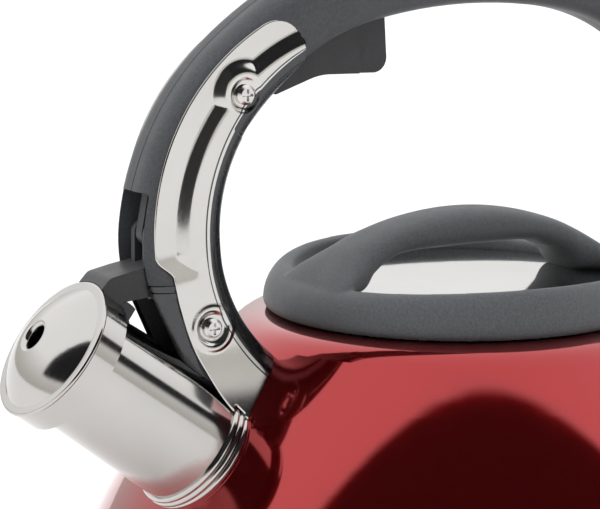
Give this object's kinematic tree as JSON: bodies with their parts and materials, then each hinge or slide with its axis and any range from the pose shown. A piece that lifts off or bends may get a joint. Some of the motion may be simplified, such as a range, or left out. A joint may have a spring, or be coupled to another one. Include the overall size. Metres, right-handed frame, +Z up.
{
  "type": "stovetop whistling kettle",
  "caption": "Round red kettle with steel spout, lift-off lid, arched handle, and a trigger that tips open the whistling cap.",
  "frame": {"origin": "centre of the base disc's resting face, on the body's own axis", "axes": "+Z up, -X towards the spout, the handle in the XZ plane"},
  "size_m": [0.2441, 0.2138, 0.232],
  "materials": {
    "red_lacquer": "glossy metallic red lacquer",
    "base_steel": "polished stainless steel",
    "disc_steel": "turned stainless steel",
    "spout_steel": "polished stainless steel",
    "collar_steel": "polished stainless steel with fine beads",
    "bracket_steel": "polished stainless sheet",
    "ferrule_steel": "polished stainless sheet",
    "handle_plastic": "soft-touch dark grey",
    "pin_steel": "ground steel",
    "spring_steel": "spring wire",
    "lever_plastic": "satin dark grey",
    "cap_steel": "polished stainless steel",
    "plate_steel": "plain stainless steel",
    "seal_rubber": "silicone",
    "trigger_plastic": "satin dark grey",
    "lid_plastic": "soft-touch dark grey, fine grain",
    "lid_steel": "mirror-polished stainless steel",
    "skirt_steel": "plain stainless steel",
    "gasket_rubber": "silicone",
    "screw_steel": "plated steel"
  },
  "bodies": {
    "kettle": {"body_shell": "red_lacquer", "base_pan": "base_steel", "base_disc": "disc_steel", "spout_tube": "spout_steel", "spout_collar": "collar_steel", "front_bracket": "bracket_steel", "rear_bracket": "bracket_steel", "front_ferrule_left": "ferrule_steel", "front_ferrule_right": "ferrule_steel", "rear_ferrule": "ferrule_steel", "handle_left_shell": "handle_plastic", "handle_right_shell": "handle_plastic", "front_upper_left_screw": "screw_steel", "front_upper_right_screw": "screw_steel", "front_lower_left_screw": "screw_steel", "front_lower_right_screw": "screw_steel", "rear_upper_left_screw": "screw_steel", "rear_upper_right_screw": "screw_steel", "rear_lower_left_screw": "screw_steel", "rear_lower_right_screw": "screw_steel", "trigger_pin": "pin_steel", "lever_pin": "pin_steel", "cap_spring": "spring_steel"},
    "cap": {"cap_lever": "lever_plastic", "cap_shell": "cap_steel", "whistle_plate": "plate_steel", "cap_seal": "seal_rubber"},
    "trigger": {"trigger": "trigger_plastic", "drive_pin": "pin_steel"},
    "lid": {"lid_ring": "lid_plastic", "lid_plate": "lid_steel", "lid_skirt": "skirt_steel", "lid_gasket": "gasket_rubber", "lid_screw_1": "screw_steel", "lid_screw_2": "screw_steel", "lid_screw_3": "screw_steel", "lid_screw_4": "screw_steel"}
  },
  "joints": [
    {"name": "cap_hinge", "type": "hinge", "parent": "kettle", "child": "cap", "pos_m": [-0.0965, 0, 0.142], "axis": [0, 1, 0], "range_deg": [0, 43.9], "stiffness_Nm_per_rad": 0.04, "springref_deg": -22.92},
    {"name": "trigger_hinge", "type": "hinge", "parent": "kettle", "child": "trigger", "pos_m": [-0.07, 0, 0.196], "axis": [0, -1, 0], "range_deg": [0, 10.05]},
    {"name": "lid_lift", "type": "slide", "parent": "kettle", "child": "lid", "axis": [0, 0, 1], "range_m": [0, 0.04]}
  ],
  "couplings": [
    {"joint": "trigger_hinge", "follows": "cap_hinge", "ratio": 0.2278}
  ]
}
